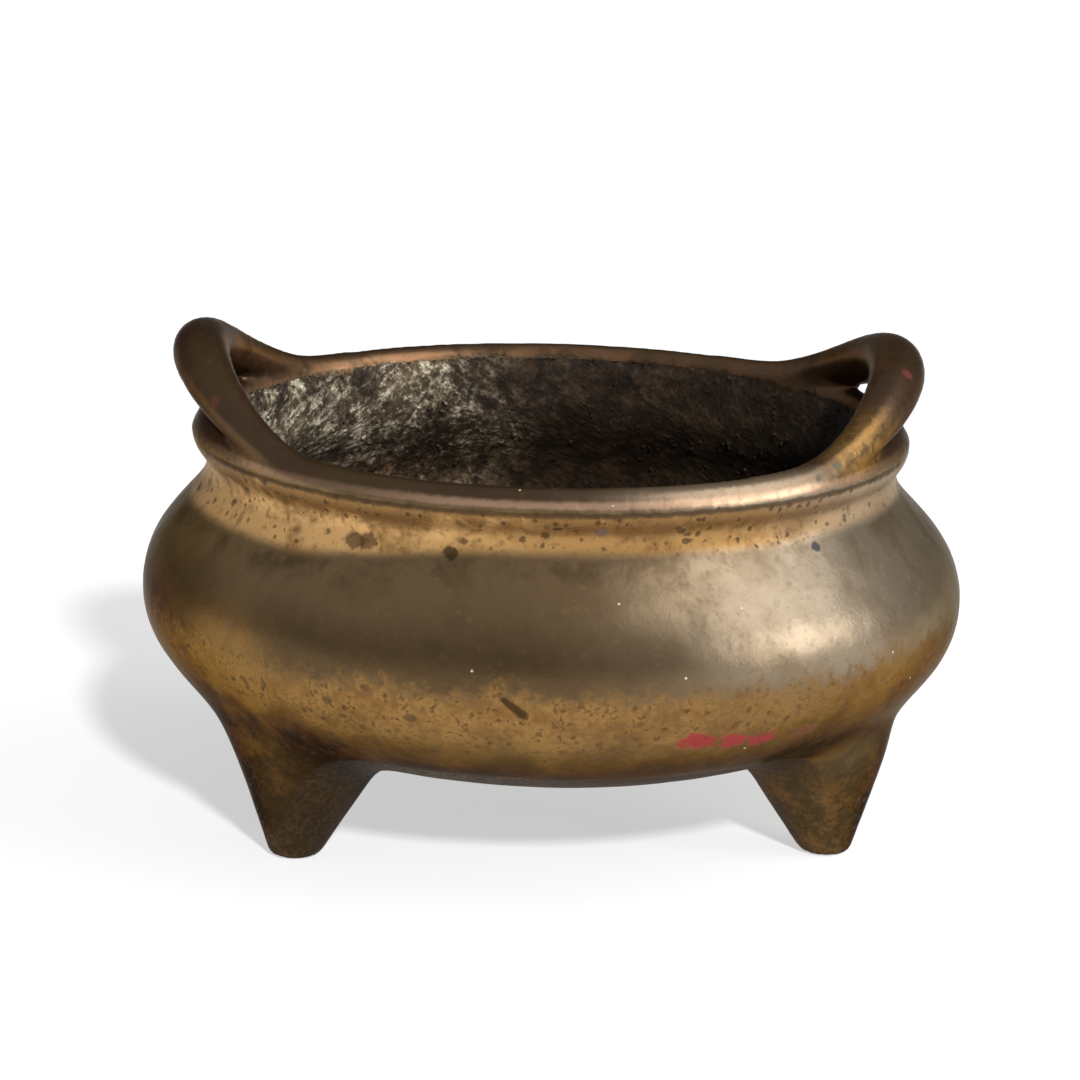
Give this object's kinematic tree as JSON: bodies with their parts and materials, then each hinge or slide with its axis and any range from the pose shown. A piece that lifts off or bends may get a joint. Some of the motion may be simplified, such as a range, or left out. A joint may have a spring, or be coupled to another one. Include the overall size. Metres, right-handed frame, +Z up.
{
  "type": "tripod incense burner",
  "caption": "Squat round bronze censer, open at the top, with low loop handles rising from its rolled rim and short tapered feet.",
  "frame": {"origin": "centre of the object's box, on the level that the feet stand on", "axes": "+Z up, +X towards the right-hand handle and -Y towards the viewer of the picture"},
  "size_m": [0.16, 0.16, 0.097],
  "materials": {
    "bronze": "cast bronze under an old brown patina, worn golden at the neck and the lower belly"
  },
  "bodies": {
    "root": {"incense_burner": "bronze"}
  },
  "joints": []
}
